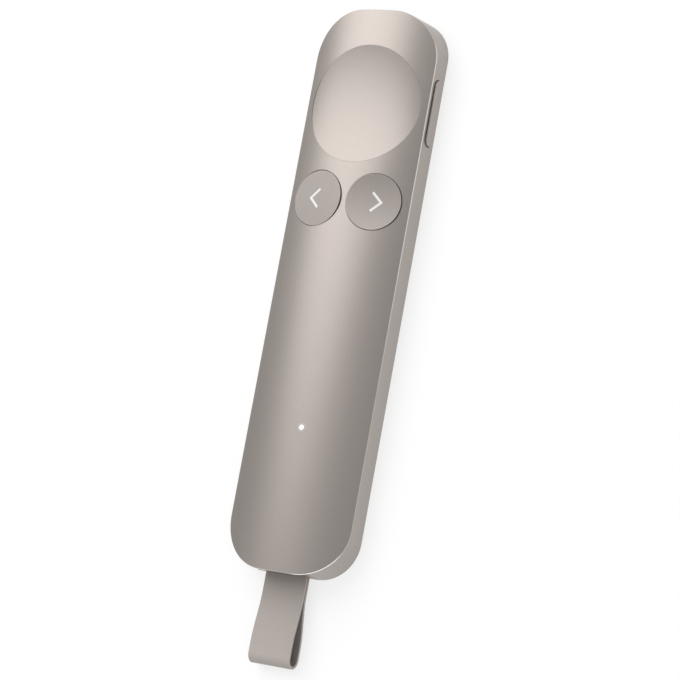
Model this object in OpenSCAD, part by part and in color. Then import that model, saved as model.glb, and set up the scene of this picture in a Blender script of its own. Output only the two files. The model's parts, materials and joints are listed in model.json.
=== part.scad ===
// Wireless presentation clicker, lying on its back.
// X runs across it, Y along it towards the dished button, Z out of its crowned front.
// The origin is the middle of the flat back. Every length is in millimetres.

/* [Casing] */
// Length of the casing
casing_length = 126; // [120:0.5:140]
// Width of the casing
casing_width = 30; // [29:0.5:36]
// Thickness at the middle of the crown
casing_thick = 8.6; // [8.4:0.1:11]
// Radius of the crowned front, across the width
crown_radius = 38; // [34:1:80]
// Corner radius, seen from the front
corner_radius = 9.7; // [8:0.1:12]
// Wall of the front, the sides and the ends
wall = 1; // [0.8:0.05:1.2]
// Polished chamfer along the front edge
edge_chamfer = 0.35; // [0.2:0.05:0.5]
// Thickness of the flat back cover
cover_thick = 1; // [0.8:0.05:1.2]

/* [Pointer button] */
// Distance of the dished button's middle from the top end
pointer_from_top = 21.6; // [20:0.2:23]
// Radius of the dished button
pointer_radius = 13.4; // [12:0.1:13.6]
// Depth of the dish below the crown, at its middle
dish_depth = 1; // [0.6:0.1:1.4]
// Thickness of the dished cap
pointer_cap = 1.2; // [0.9:0.1:1.4]
// How far the dished button goes down
pointer_travel = 0.3; // [0.2:0.05:0.35]

/* [Paging buttons] */
// Distance of the two round buttons from the dished one, middle to middle
paging_below_pointer = 21.9; // [21.4:0.1:24]
// Distance of a round button's middle from the centre line
paging_x = 7; // [6.8:0.05:7.3]
// Radius of a round button
paging_radius = 6.3; // [5.5:0.1:6.4]
// Height of a round button's face above the crown, at its middle
paging_proud = 0.1; // [0:0.05:0.3]
// Depth of the shallow hollow in the right-hand button's face
next_dish_depth = 0.25; // [0.1:0.05:0.4]
// How far a round button goes down
paging_travel = 0.35; // [0.2:0.05:0.4]

/* [Side button] */
// Length of the pill-shaped side button
side_length = 15; // [12:0.5:17]
// Width of the side button
side_width = 3.2; // [2.6:0.1:3.4]
// Distance of the side button's middle from the back
side_height = 2.75; // [2.6:0.05:3]
// Height of the side button's face above the side wall
side_proud = 0.4; // [0.3:0.05:0.6]
// How far the side button goes in
side_travel = 0.3; // [0.2:0.05:0.3]

/* [Status light] */
// Distance of the status light from the bottom end
light_from_bottom = 31.5; // [29:0.5:34]
// Radius of the light pipe in the front wall
light_radius = 0.45; // [0.4:0.05:0.8]

/* [Frame and board] */
// Height of the frame that the board lies on
frame_height = 1.3; // [1.1:0.05:1.5]
// Width of the frame's rim
frame_rim = 1.4; // [1.2:0.1:1.8]
// Thickness of the circuit board
board_thick = 0.8; // [0.6:0.1:1]
// Radius of the casing's screw posts
post_radius = 1.3; // [1.1:0.1:1.4]
// Radius of a screw's shank
screw_radius = 0.55; // [0.5:0.05:0.6]

/* [Battery and motor] */
// Gap between the battery and the vibration motor
battery_gap = 5; // [3:0.5:8]
// Width of the battery
battery_width = 17; // [14:0.5:18]
// Thickness of the battery
battery_thick = 2.9; // [2:0.1:3]
// Radius of the vibration motor
motor_radius = 4; // [3:0.1:4]
// Height of the vibration motor
motor_height = 2.4; // [2:0.1:2.5]

/* [Receiver] */
// Length of the receiver's case
receiver_length = 14; // [12.5:0.5:15]
// Width of the receiver's case
receiver_width = 13.6; // [12.6:0.1:14]
// Thickness of the receiver's case
receiver_thick = 3.4; // [3.3:0.05:3.5]
// Wall of the receiver's case
receiver_wall = 0.6; // [0.5:0.05:0.65]
// Width of the receiver's plug
plug_width = 8.34; // [8:0.02:8.6]
// Height of the receiver's plug
plug_height = 2.56; // [2.5:0.02:2.6]
// Length of the receiver's plug in front of its case
plug_length = 6.5; // [6:0.1:7]

/* [Strap] */
// How far the strap's loop reaches beyond the bottom end
strap_length = 19.8; // [15:0.2:30]
// Width of the strap
strap_width = 10.5; // [8:0.5:11]
// Thickness of one layer of the strap
strap_layer = 0.8; // [0.6:0.05:0.85]
// Thickness of the open loop, outside to outside
loop_thick = 4; // [3:0.1:4.2]

/* [Fits] */
// Gap round the dished button
pointer_gap = 0.08; // [0.05:0.01:0.15]
// Gap round the round buttons and the side button
button_gap = 0.16; // [0.1:0.02:0.2]
// Gap between fixed pieces, and round the docked receiver
fit_gap = 0.1; // [0.06:0.02:0.14]
// Gap between a plug and its socket, and between a pin and its hole
running_gap = 0.05; // [0.03:0.01:0.08]

/* [Hidden] */
overrun = 1;
fine = 192;
round_parts = 64;
hull_parts = 32;
sides = [-1, 1];

// Levels
crown_axis_z = casing_thick - crown_radius;
tape_thick = 0.1;
frame_bottom = cover_thick + tape_thick;
board_bottom = frame_bottom + frame_height;
board_top = board_bottom + board_thick;
end_y = casing_length / 2;
side_x = casing_width / 2;

// Dished button: a dish hollowed along Y whose edge seen from the front is a circle
pointer_y = end_y - pointer_from_top;
dish_radius = (pow(pointer_radius, 2) + pow(dish_depth, 2)) / (2 * dish_depth);
crown_drop = pow(pointer_radius, 2) / (2 * crown_radius);
dish_across_radius = pow(pointer_radius, 2) / (2 * (crown_drop - dish_depth));
dish_axis_z = casing_thick - dish_depth + dish_radius;
skirt_clear = 1.7;
skirt_bottom = board_top + skirt_clear;
skirt_wall = 1.2;
pointer_lug_width = 6;
pointer_lug_reach = 1.1;
pointer_lug_thick = 1.1;
lug_clear = 0.15;
pointer_post_radius = 1.5;

// Round buttons, set square to the crown
paging_y = pointer_y - paging_below_pointer;
paging_tilt = asin(paging_x / crown_radius);
paging_surface_z = crown_axis_z + crown_radius * cos(paging_tilt);
next_dish_radius = (pow(paging_radius, 2) + pow(next_dish_depth, 2)) / (2 * next_dish_depth);
paging_cap = 1;
paging_skirt = 1.9;
paging_lug_width = 4;
paging_lug_reach = 1;
paging_lug_thick = 0.7;
paging_post_radius = 1;
press_room = 0.1;

// Switches
pointer_switch_size = 5;
pointer_switch_height = 1.2;
paging_switch_size = 4;
paging_switch_height = 1;
switch_dome_radius = 0.9;
switch_dome_height = 0.3;
pointer_switch_top = board_top + pointer_switch_height + switch_dome_height;
paging_switch_top = board_top + paging_switch_height + switch_dome_height;
paging_switch_x = paging_x - (paging_surface_z - paging_switch_top) * tan(paging_tilt);

// Side button
side_lip = 1;
side_flange_thick = 0.7;
side_flange_width = 2.7;
side_flange_x = side_x - wall - fit_gap - side_flange_thick;
side_post = 0.45;
side_post_length = 2.2;
side_post_height = 0.7;
side_post_z = board_top + press_room + side_post_height / 2;
side_switch_depth = 1.8;
side_switch_length = 3.2;
side_switch_height = 1.3;
side_plunger = 0.35;
side_switch_x = side_flange_x - side_post - side_travel - press_room - side_plunger;
side_room_length = side_length + 2 * side_lip + 2 * fit_gap;
side_room_x = side_switch_x + fit_gap;

// Status light
light_y = light_from_bottom - end_y;
light_flange_radius = 1.2;
light_flange_thick = 0.6;
led_length = 1.6;
led_width = 0.8;
led_height = 0.6;

// Receiver, plug and port
receiver_z = cover_thick + fit_gap + receiver_thick / 2;
receiver_front_y = receiver_length - end_y;
receiver_corner = 0.6;
front_plate = 0.9;
plug_shell = 0.3;
front_lip = 0.8;
contact_thick = 0.5;
contact_inset = 0.15;
contact_tail = 1.2;
tongue_thick = 0.7;
tongue_width = 6.6;
tongue_length = 4.4;
port_shell = 0.28;
port_back = 0.7;
port_ear = 1.1;
port_ear_thick = 0.35;
port_ear_length = 2.4;
port_mouth_y = receiver_front_y + 2 * fit_gap;
port_end_y = receiver_front_y + plug_length + 3 * fit_gap + port_back;
port_width = plug_width + 2 * (running_gap + port_shell);
port_height = plug_height + 2 * (running_gap + port_shell);
plug_back_y = receiver_front_y - front_plate;
slot_depth = 6;
receiver_room_y = slot_depth + receiver_wall - end_y;
receiver_board_width = 8;
receiver_board_length = 5.6;
receiver_board_thick = 0.6;
receiver_chip_size = 3;
receiver_chip_height = 0.5;

// Dock round the receiver
dock_wall = 0.8;
dock_half = receiver_width / 2 + fit_gap;
dock_length = receiver_length - wall - 4 * fit_gap;
bay_half = dock_half + dock_wall + fit_gap;
dock_post_x = (bay_half + side_x - wall) / 2;
dock_post_from_end = 9.5;
dock_post_y = dock_post_from_end - end_y;
dock_foot_edge = 1.4;
dock_foot_reach = dock_post_x + dock_foot_edge - dock_half;
dock_foot_length = 6;

// Strap
strap_z = receiver_z - 0.3 * strap_layer;
pin_radius = 0.5;
pin_y = slot_depth / 2 - end_y;
strap_tail = slot_depth - 2 * fit_gap;
loop_start_share = 0.35;
loop_full_share = 0.8;
loop_steps = 12;
loop_start_y = -end_y - loop_start_share * strap_length;
loop_full_y = -end_y - loop_full_share * strap_length;
loop_end_y = -end_y - strap_length;

// Posts, screws and frame
frame_inset = wall + 1.5 * fit_gap;
frame_bar = 1.5;
frame_lug = 2;
screw_head_radius = 1;
screw_head_height = 0.5;
screw_reach = 2;
top_post_from_side = 6;
top_post_x = side_x - top_post_from_side;
top_post_from_end = 5.5;
top_post_y = end_y - top_post_from_end;
side_post_x = (battery_width / 2 + side_x - wall) / 2;
middle_post_below_paging = 12.5;
middle_post_y = paging_y - middle_post_below_paging;
lower_post_from_end = 23;
lower_post_y = lower_post_from_end - end_y;
POSTS = [
    [top_post_x, top_post_y],
    [side_post_x, middle_post_y],
    [side_post_x, lower_post_y],
    [dock_post_x, dock_post_y]
];

// Board and what it carries
board_gap = 0.5;
board_inset = wall + board_gap;
motor_x = (side_x - wall) / 2;
motor_below_light = 1.5;
motor_y = light_y - motor_below_light;
protection_length = 1.8;
protection_height = 2;
protection_inset = 2.5;
protection_width = battery_width - 2 * protection_inset;
protection_gap = 1.4;
battery_top_y = paging_y - paging_radius - protection_gap - protection_length;
battery_bottom_y = motor_y + motor_radius + battery_gap;
battery_edge = 1.2;
chip_size = 4.4;
chip_height = 0.8;
sensor_size = 3;
sensor_height = 0.8;
sensor_above_paging = 9;
sensor_y = paging_y + sensor_above_paging;
shield_length = 8;
shield_width = 7;
shield_height = 1.6;
shield_x = -motor_x;
antenna_length = 7;
antenna_width = 2;
antenna_height = 1;
antenna_from_end = 5;
antenna_y = end_y - antenna_from_end;

// Adhesive between the cover and the frame
tape_inset = frame_inset + fit_gap;
tape_width = 0.9;

// Colours
METAL = [0.69, 0.66, 0.64];
BUTTON = [0.70, 0.67, 0.65];
PLASTIC = [0.13, 0.13, 0.14];
BOARD = [0.06, 0.25, 0.16];
STEEL = [0.75, 0.75, 0.76];
CHIP = [0.08, 0.08, 0.09];
STRAP = [0.66, 0.63, 0.60];
FOIL = [0.78, 0.79, 0.80];
LIGHT = [0.95, 0.97, 1];

// Height of the crown over a place across the width, on a face set in by inset
function crown_z(x, inset = 0) = crown_axis_z + sqrt(pow(crown_radius - inset, 2) - x * x);

// Shapes that repeat
module rounded(size_x, size_y, radius, parts = round_parts) {
    square([size_x - 2 * radius, size_y], center = true);
    square([size_x, size_y - 2 * radius], center = true);
    for (sx = sides, sy = sides)
        translate([sx * (size_x / 2 - radius), sy * (size_y / 2 - radius)])
            circle(r = radius, $fn = parts);
}

module pill(length, width) {
    square([length - width, width], center = true);
    for (side = sides)
        translate([side * (length - width) / 2, 0]) circle(r = width / 2, $fn = round_parts);
}

module outline(inset, parts = round_parts) {
    rounded(casing_width - 2 * inset, casing_length - 2 * inset, corner_radius - inset, parts);
}

module from_to(low, high) {
    translate([0, 0, low]) linear_extrude(high - low) children();
}

// A section drawn in X and Z, carried along Y
module along_y(low, high) {
    translate([0, high, 0]) rotate([90, 0, 0]) linear_extrude(high - low) children();
}

// A section drawn in Y and Z, carried along X
module along_x(low, high) {
    translate([low, 0, 0]) rotate([90, 0, 90]) linear_extrude(high - low) children();
}

module block(x, y, low, size_x, size_y, height) {
    translate([x - size_x / 2, y - size_y / 2, low]) cube([size_x, size_y, height]);
}

module crown(inset, lift = 0, parts = fine) {
    translate([0, 0, crown_axis_z + lift]) rotate([90, 0, 0])
        cylinder(r = crown_radius - inset, h = casing_length + 2 * overrun, center = true, $fn = parts);
}

module posts_at() {
    for (place = POSTS, side = sides)
        translate([side * place[0], place[1], 0]) children();
}

// What lies under the dish, set in by inset
module under_dish(inset) {
    sector = asin((pointer_radius + overrun) / dish_radius);
    reach = pointer_radius + overrun;
    depth = casing_thick;
    translate([0, pointer_y, dish_axis_z]) rotate([0, 90, 0]) rotate([0, 0, -sector])
        rotate_extrude(angle = 2 * sector, $fn = 4 * fine)
            intersection() {
                translate([dish_radius + dish_across_radius, 0])
                    circle(r = dish_across_radius - inset, $fn = 4 * fine);
                translate([dish_radius - overrun, -reach])
                    square([depth + overrun, 2 * reach]);
            }
}

// A round button's own frame: its face is square to Z
module at_paging(side) {
    translate([side * paging_x, paging_y, paging_surface_z])
        rotate([0, side * paging_tilt, 0]) children();
}

module disc(radius, low, high) {
    translate([0, 0, low]) cylinder(r = radius, h = high - low, $fn = round_parts);
}

// Casing
module chamfer_hull() {
    hull() {
        intersection() {
            from_to(0, casing_thick + overrun) outline(2 * edge_chamfer, hull_parts);
            crown(0, edge_chamfer, fine);
        }
        intersection() {
            from_to(0, casing_thick) outline(-edge_chamfer, hull_parts);
            crown(0, -2 * edge_chamfer, fine);
        }
    }
}

module casing_form() {
    intersection() {
        from_to(0, casing_thick + overrun) outline(0);
        crown(0);
        chamfer_hull();
    }
}

module casing_room() {
    intersection() {
        from_to(-overrun, casing_thick) outline(wall);
        crown(wall);
    }
}

module casing_posts() {
    for (place = POSTS, side = sides) {
        under = crown_z(place[0] - post_radius, wall);
        over = crown_z(place[0] + post_radius);
        translate([side * place[0], place[1], 0]) disc(post_radius, board_top, (under + over) / 2);
    }
}

module casing_openings() {
    translate([0, pointer_y, 0]) disc(pointer_radius + pointer_gap, board_top, casing_thick + overrun);
    for (side = sides)
        at_paging(side) disc(paging_radius + button_gap, -paging_skirt, overrun);
    along_x(side_x - wall - overrun, side_x + overrun)
        translate([pointer_y, side_height])
            pill(side_length + 2 * button_gap, side_width + 2 * button_gap);
    translate([0, light_y, 0]) disc(light_radius + running_gap, board_top, casing_thick + overrun);
    along_y(-end_y - overrun, -end_y + wall + overrun)
        translate([0, receiver_z])
            rounded(receiver_width + 2 * fit_gap, receiver_thick + 2 * fit_gap, receiver_corner);
    posts_at() disc(screw_radius + running_gap, board_top - overrun, board_top + screw_reach + fit_gap);
}

module upper_casing() {
    color(METAL) difference() {
        union() {
            difference() {
                casing_form();
                casing_room();
            }
            casing_posts();
        }
        casing_openings();
    }
}

module back_cover() {
    color(METAL) from_to(0, cover_thick) outline(wall + fit_gap);
}

// Rooms that the rim pieces leave free for the dock and the side button
module rim_rooms() {
    translate([-bay_half, -end_y]) square([2 * bay_half, receiver_length + fit_gap]);
    translate([side_room_x, pointer_y - side_room_length / 2]) square([side_x, side_room_length]);
}

module cover_tape() {
    color(PLASTIC) from_to(cover_thick, frame_bottom) difference() {
        outline(tape_inset);
        outline(tape_inset + tape_width);
        rim_rooms();
    }
}

module frame_plan() {
    difference() {
        outline(frame_inset);
        outline(frame_inset + frame_rim);
    }
    intersection() {
        outline(frame_inset);
        for (y = [dock_post_y, lower_post_y, middle_post_y, sensor_y, antenna_y])
            translate([0, y]) square([casing_width, frame_bar], center = true);
    }
    intersection() {
        outline(frame_inset);
        for (place = POSTS, side = sides)
            translate([side * place[0], place[1]]) circle(r = frame_lug, $fn = round_parts);
    }
}

module inner_frame() {
    color(PLASTIC) difference() {
        from_to(frame_bottom, board_bottom) difference() {
            frame_plan();
            rim_rooms();
        }
        posts_at() disc(screw_radius + running_gap, 0, board_top);
        posts_at() disc(screw_head_radius + running_gap, 0, frame_bottom + screw_head_height);
    }
}

module frame_screws() {
    color(STEEL) posts_at() {
        disc(screw_head_radius, frame_bottom, frame_bottom + screw_head_height);
        disc(screw_radius, frame_bottom, board_top + screw_reach);
    }
}

// Board and what it carries
module main_board() {
    color(BOARD) difference() {
        from_to(board_bottom, board_top) difference() {
            outline(board_inset);
            translate([-side_x, -end_y]) square([casing_width, port_mouth_y + end_y]);
            translate([side_room_x, pointer_y - side_room_length / 2]) square([side_x, side_room_length]);
            translate([-port_width / 2 - fit_gap, port_mouth_y - overrun])
                square([port_width + 2 * fit_gap, port_end_y - port_mouth_y + overrun + fit_gap]);
        }
        posts_at() disc(screw_radius + running_gap, 0, board_top + overrun);
    }
}

module processor_chip() {
    color(CHIP) block(0, paging_y, board_top, chip_size, chip_size, chip_height);
}

module motion_sensor() {
    color(CHIP) block(0, sensor_y, board_top, sensor_size, sensor_size, sensor_height);
}

module radio_shield() {
    color(FOIL) block(shield_x, motor_y, board_top, shield_width, shield_length, shield_height);
}

module antenna() {
    color(CHIP) block(0, antenna_y, board_top, antenna_length, antenna_width, antenna_height);
}

module battery() {
    color(FOIL) along_y(battery_bottom_y, battery_top_y)
        translate([0, board_top + battery_thick / 2]) rounded(battery_width, battery_thick, battery_edge);
}

module battery_protection() {
    color(BOARD) block(0, battery_top_y + protection_length / 2, board_top,
        protection_width, protection_length, protection_height);
}

module vibration_motor() {
    color(STEEL) translate([motor_x, motor_y, 0]) disc(motor_radius, board_top, board_top + motor_height);
}

// Dished button
module pointer_button() {
    color(BUTTON) union() {
        difference() {
            intersection() {
                translate([0, pointer_y, 0]) disc(pointer_radius, skirt_bottom, casing_thick + overrun);
                under_dish(0);
            }
            intersection() {
                translate([0, pointer_y, 0]) disc(pointer_radius - skirt_wall, 0, casing_thick + overrun);
                under_dish(pointer_cap);
            }
        }
        intersection() {
            translate([0, pointer_y, 0])
                disc(pointer_post_radius, pointer_switch_top + pointer_travel + press_room, casing_thick);
            under_dish(pointer_cap / 2);
        }
        pointer_lugs();
    }
}

module pointer_lugs() {
    lug_top = crown_z(pointer_lug_width / 2, wall) - lug_clear;
    difference() {
        block(0, pointer_y, lug_top - pointer_lug_thick, pointer_lug_width,
            2 * (pointer_radius + pointer_lug_reach), pointer_lug_thick);
        translate([0, pointer_y, 0]) disc(pointer_radius - skirt_wall / 2, 0, casing_thick);
    }
}

// A press switch on the board, with its dome
module press_switch(x, y, size, height) {
    color(CHIP) union() {
        block(x, y, board_top, size, size, height);
        translate([x, y, 0]) disc(switch_dome_radius, board_top, board_top + height + switch_dome_height);
    }
}

module pointer_switch() {
    press_switch(0, pointer_y, pointer_switch_size, pointer_switch_height);
}

// Round buttons: a cap with a flat face, a post for its switch and two lugs that hold it in
module paging_button(side, face) {
    post_room = paging_travel + press_room + paging_post_radius * sin(paging_tilt);
    post_length = (paging_surface_z - paging_switch_top - post_room) / cos(paging_tilt);
    color(BUTTON) at_paging(side) {
        difference() {
            disc(paging_radius, -paging_skirt, face);
            disc(paging_radius - paging_cap, -paging_skirt - overrun, -paging_cap);
        }
        disc(paging_post_radius, -post_length, -paging_cap / 2);
        difference() {
            block(0, 0, -paging_skirt, paging_lug_width,
                2 * (paging_radius + paging_lug_reach), paging_lug_thick);
            disc(paging_radius - paging_cap / 2, -paging_skirt - overrun, 0);
        }
    }
}

module previous_button() {
    paging_button(-1, paging_proud);
}

// The right-hand button's face is hollowed along Y, so that a thumb finds it
module next_button() {
    color(BUTTON) difference() {
        paging_button(1, paging_proud + next_dish_depth);
        at_paging(1) translate([0, 0, paging_proud + next_dish_radius]) rotate([0, 90, 0])
            cylinder(r = next_dish_radius, h = 2 * (paging_radius + overrun),
                center = true, $fn = 4 * fine);
    }
}

module previous_switch() {
    press_switch(-paging_switch_x, paging_y, paging_switch_size, paging_switch_height);
}

module next_switch() {
    press_switch(paging_switch_x, paging_y, paging_switch_size, paging_switch_height);
}

// Side button
module side_button() {
    color(BUTTON) union() {
        along_x(side_flange_x + side_flange_thick / 2, side_x + side_proud)
            translate([pointer_y, side_height]) pill(side_length, side_width);
        along_x(side_flange_x, side_flange_x + side_flange_thick)
            translate([pointer_y, side_height]) pill(side_length + 2 * side_lip, side_flange_width);
        along_x(side_flange_x - side_post, side_flange_x + side_flange_thick / 2)
            translate([pointer_y, side_post_z]) square([side_post_length, side_post_height], center = true);
    }
}

module side_switch() {
    color(CHIP) union() {
        block(side_switch_x - side_switch_depth / 2, pointer_y, board_top,
            side_switch_depth, side_switch_length, side_switch_height);
        along_x(side_switch_x - side_plunger, side_switch_x + side_plunger)
            translate([pointer_y, side_post_z])
                square([side_post_length - side_post_height, side_post_height], center = true);
    }
}

// Status light
module status_light_pipe() {
    flange_top = crown_z(light_flange_radius, wall) - running_gap;
    color(LIGHT) translate([0, light_y, 0]) intersection() {
        union() {
            disc(light_radius, board_top + led_height + fit_gap, casing_thick + overrun);
            disc(light_flange_radius, flange_top - light_flange_thick, flange_top);
        }
        crown(0);
    }
}

module status_led() {
    color(LIGHT) block(0, light_y, board_top, led_length, led_width, led_height);
}

// Port that the docked receiver plugs into
module port_shell() {
    color(STEEL) union() {
        difference() {
            along_y(port_mouth_y, port_end_y) translate([0, receiver_z]) pill(port_width, port_height);
            along_y(port_mouth_y - overrun, port_end_y - port_back)
                translate([0, receiver_z])
                    pill(port_width - 2 * port_shell, port_height - 2 * port_shell);
        }
        for (side = sides)
            block(side * (port_width + port_ear - port_shell) / 2, (port_mouth_y + port_end_y) / 2,
                board_top, port_ear + port_shell, port_ear_length, port_ear_thick);
    }
}

module port_tongue() {
    color(PLASTIC) along_y(port_end_y - port_back - tongue_length, port_end_y - port_back)
        translate([0, receiver_z]) square([tongue_width, tongue_thick], center = true);
}

module receiver_dock() {
    inner_top = receiver_z + receiver_thick / 2 + fit_gap;
    dock_start_y = -end_y + wall + fit_gap;
    color(PLASTIC) difference() {
        intersection() {
            union() {
                along_y(dock_start_y, dock_start_y + dock_length)
                    translate([-dock_half - dock_wall, frame_bottom])
                        square([2 * (dock_half + dock_wall), inner_top + dock_wall - frame_bottom]);
                for (side = sides)
                    block(side * (dock_half + dock_foot_reach / 2), dock_post_y, board_bottom,
                        dock_foot_reach, dock_foot_length, board_thick);
            }
            from_to(0, casing_thick) outline(wall + fit_gap);
        }
        along_y(-end_y, dock_start_y + dock_length + overrun)
            translate([-dock_half, 0]) square([2 * dock_half, inner_top]);
        posts_at() disc(screw_radius + running_gap, 0, board_top + overrun);
    }
}

// Receiver
module strap_slot(gap) {
    along_y(-end_y - overrun, -end_y + slot_depth)
        translate([0, strap_z]) square([strap_width + 2 * gap, 2 * (strap_layer + gap)], center = true);
}

module pin_rod(radius, half) {
    translate([0, pin_y, strap_z]) rotate([0, 90, 0])
        cylinder(r = radius, h = 2 * half, center = true, $fn = round_parts);
}

module receiver_case() {
    color(PLASTIC) difference() {
        along_y(-end_y, plug_back_y)
            translate([0, receiver_z]) rounded(receiver_width, receiver_thick, receiver_corner);
        along_y(receiver_room_y, receiver_front_y + overrun)
            translate([0, receiver_z])
                rounded(receiver_width - 2 * receiver_wall, receiver_thick - 2 * receiver_wall,
                    receiver_corner / 2);
        strap_slot(running_gap);
        pin_rod(pin_radius + running_gap, receiver_width);
    }
}

module receiver_front() {
    lip_inset = 2 * (receiver_wall + running_gap);
    color(PLASTIC) difference() {
        union() {
            along_y(plug_back_y, receiver_front_y)
                translate([0, receiver_z]) rounded(receiver_width, receiver_thick, receiver_corner);
            along_y(plug_back_y - front_lip, plug_back_y)
                translate([0, receiver_z])
                    rounded(receiver_width - lip_inset, receiver_thick - lip_inset, receiver_corner / 2);
        }
        along_y(plug_back_y - front_lip - overrun, receiver_front_y + overrun)
            translate([0, receiver_z])
                pill(plug_width + 2 * running_gap, plug_height + 2 * running_gap);
    }
}

module receiver_board() {
    color(BOARD) block(0, plug_back_y - running_gap - receiver_board_length / 2,
        receiver_z - receiver_board_thick / 2,
        receiver_board_width, receiver_board_length, receiver_board_thick);
}

module receiver_chip() {
    color(CHIP) block(0, plug_back_y - running_gap - receiver_board_length / 2,
        receiver_z + receiver_board_thick / 2,
        receiver_chip_size, receiver_chip_size, receiver_chip_height);
}

module receiver_plug() {
    color(STEEL) along_y(plug_back_y, receiver_front_y + plug_length)
        translate([0, receiver_z]) difference() {
            pill(plug_width, plug_height);
            pill(plug_width - 2 * plug_shell, plug_height - 2 * plug_shell);
        }
}

module receiver_contacts() {
    height = plug_height - 2 * (plug_shell + running_gap);
    color(PLASTIC) along_y(plug_back_y - contact_tail, receiver_front_y + plug_length - contact_inset)
        for (side = sides)
            translate([0, receiver_z + side * (height - contact_thick) / 2])
                square([plug_width - 2 * plug_shell - plug_height, contact_thick], center = true);
}

// Strap: two layers laid together, opening into a loop with a round end
function ease(t) = t * t * (3 - 2 * t);

function loop_side(inner) = [
    for (i = [0:loop_steps])
        let (t = i / loop_steps, full = loop_thick / 2 - strap_layer)
            [loop_start_y + t * (loop_full_y - loop_start_y), inner + full * ease(t)]
];

function loop_end(radius) = [
    for (i = [0:loop_steps])
        let (a = 180 * i / loop_steps, centre = loop_end_y + loop_thick / 2)
            [centre - radius * sin(a), radius * cos(a)]
];

function mirrored(points) = [for (i = [len(points) - 1:-1:0]) [points[i][0], -points[i][1]]];

module strap_section() {
    outer = loop_side(strap_layer);
    inner = loop_side(0);
    translate([0, strap_z]) difference() {
        union() {
            polygon(concat(outer, loop_end(loop_thick / 2), mirrored(outer)));
            translate([loop_start_y, -strap_layer])
                square([-end_y + strap_tail - loop_start_y, 2 * strap_layer]);
        }
        polygon(concat(inner, loop_end(loop_thick / 2 - strap_layer), mirrored(inner)));
    }
}

module strap() {
    color(STRAP) difference() {
        along_x(-strap_width / 2, strap_width / 2) strap_section();
        pin_rod(pin_radius + running_gap, strap_width);
    }
}

module strap_pin() {
    color(STEEL) pin_rod(pin_radius, receiver_width / 2 - running_gap);
}

upper_casing();
back_cover();
cover_tape();
inner_frame();
frame_screws();
main_board();
processor_chip();
motion_sensor();
radio_shield();
antenna();
battery();
battery_protection();
vibration_motor();
pointer_button();
pointer_switch();
previous_button();
previous_switch();
next_button();
next_switch();
side_button();
side_switch();
status_light_pipe();
status_led();
port_shell();
port_tongue();
receiver_dock();
receiver_case();
receiver_front();
receiver_board();
receiver_chip();
receiver_plug();
receiver_contacts();
strap();
strap_pin();
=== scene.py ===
"""Wireless presentation clicker: its visible pieces, finishes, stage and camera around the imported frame."""

import json
import math
from typing import NamedTuple

import bmesh
import bpy
from bmesh.types import BMEdge, BMFace, BMVert
from bpy.props import FloatProperty, FloatVectorProperty, IntProperty, PointerProperty
from bpy.types import Operator, Panel, PropertyGroup
from mathutils import Matrix, Vector


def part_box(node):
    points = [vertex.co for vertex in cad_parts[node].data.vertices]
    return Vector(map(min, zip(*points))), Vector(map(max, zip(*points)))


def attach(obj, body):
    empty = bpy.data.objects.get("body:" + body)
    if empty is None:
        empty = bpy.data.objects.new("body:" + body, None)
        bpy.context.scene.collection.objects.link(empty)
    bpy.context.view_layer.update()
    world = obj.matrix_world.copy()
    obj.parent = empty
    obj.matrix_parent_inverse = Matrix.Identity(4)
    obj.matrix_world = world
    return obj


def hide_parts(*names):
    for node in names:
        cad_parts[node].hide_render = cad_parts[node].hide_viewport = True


bl_info = {
    "name": "Presentation Clicker",
    "version": (1, 0, 0),
    "blender": (4, 5, 0),
    "location": "View3D > Sidebar > Clicker",
    "description": "Models and finishes the visible pieces of a wireless presentation clicker",
    "category": "Object",
}

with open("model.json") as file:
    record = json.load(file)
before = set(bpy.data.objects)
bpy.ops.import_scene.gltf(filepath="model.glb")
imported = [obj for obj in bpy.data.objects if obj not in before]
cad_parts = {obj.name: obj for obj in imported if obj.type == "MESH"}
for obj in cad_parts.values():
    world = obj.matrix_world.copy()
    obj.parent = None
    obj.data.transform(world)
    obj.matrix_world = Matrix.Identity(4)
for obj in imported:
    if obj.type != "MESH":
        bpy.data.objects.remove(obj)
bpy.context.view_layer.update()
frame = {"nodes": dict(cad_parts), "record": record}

MM = 0.001

# How close points are merged, and how close to the crown a point counts as on it

MERGE = 0.00002 * MM
ON_CROWN = 0.001 * MM

# How far a cutter stands out of what it cuts, and the area from which a flat face counts as broad

CLEAR = 1 * MM
BROAD = MM ** 2

# Angle between faces above which their edge is shaded sharp, and above which it is rounded

SHARP_ANGLE = math.radians(28)
ROUNDED_ANGLE = math.radians(50)

# How much of a normal lies along a direction where it points the same way, mostly that way or partly

SAME_WAY, MOSTLY, PARTLY = 0.999, 0.9, 0.3

# Places of a piece's materials after its first

# The shell's third place is the walls' paler copy of its metal, which is painted light
POLISH, PAINTED_LIGHT_WALL = 1, 2
# On the strap, the second place is painted light on its edges, and the third painted shade inside its loop
LIT_EDGE, SHADED_INSIDE = 1, 2

# Steps in round shapes: an opening has one for each OPENING_STEP of its radius, within two limits

OPENING_STEP = 0.08 * MM
FEWEST_STEPS, MOST_STEPS = 48, 168
BUTTON_ARC, RIM_ARC, BACK_ARC = 4, 4, 3
DISH_RINGS, DISH_STEPS = 28, 168
PAGING_RINGS, PAGING_STEPS = 14, 120
LENS_RINGS, LENS_STEPS = 8, 48
SIDE_GAP_STEPS, SIDE_BUTTON_STEPS, SIDE_EDGE_STEPS = 20, 24, 4
SLOT_STEPS, STRAP_SLOT_STEPS, CASE_STEPS = 8, 4, 6
PLUG_HOLE_STEPS, PLUG_STEPS = 12, 16
ARROW_STEPS = 12

# Stage: half the floor's width, its distance under the clicker, and what the camera takes in

WHITE = (1, 1, 1, 1)
FLOOR_REACH = 3.0
FLOOR_GAP = 0.05 * MM
PICTURE_PIXELS = 680
CLIP_START, CLIP_END = 0.01, 20


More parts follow.
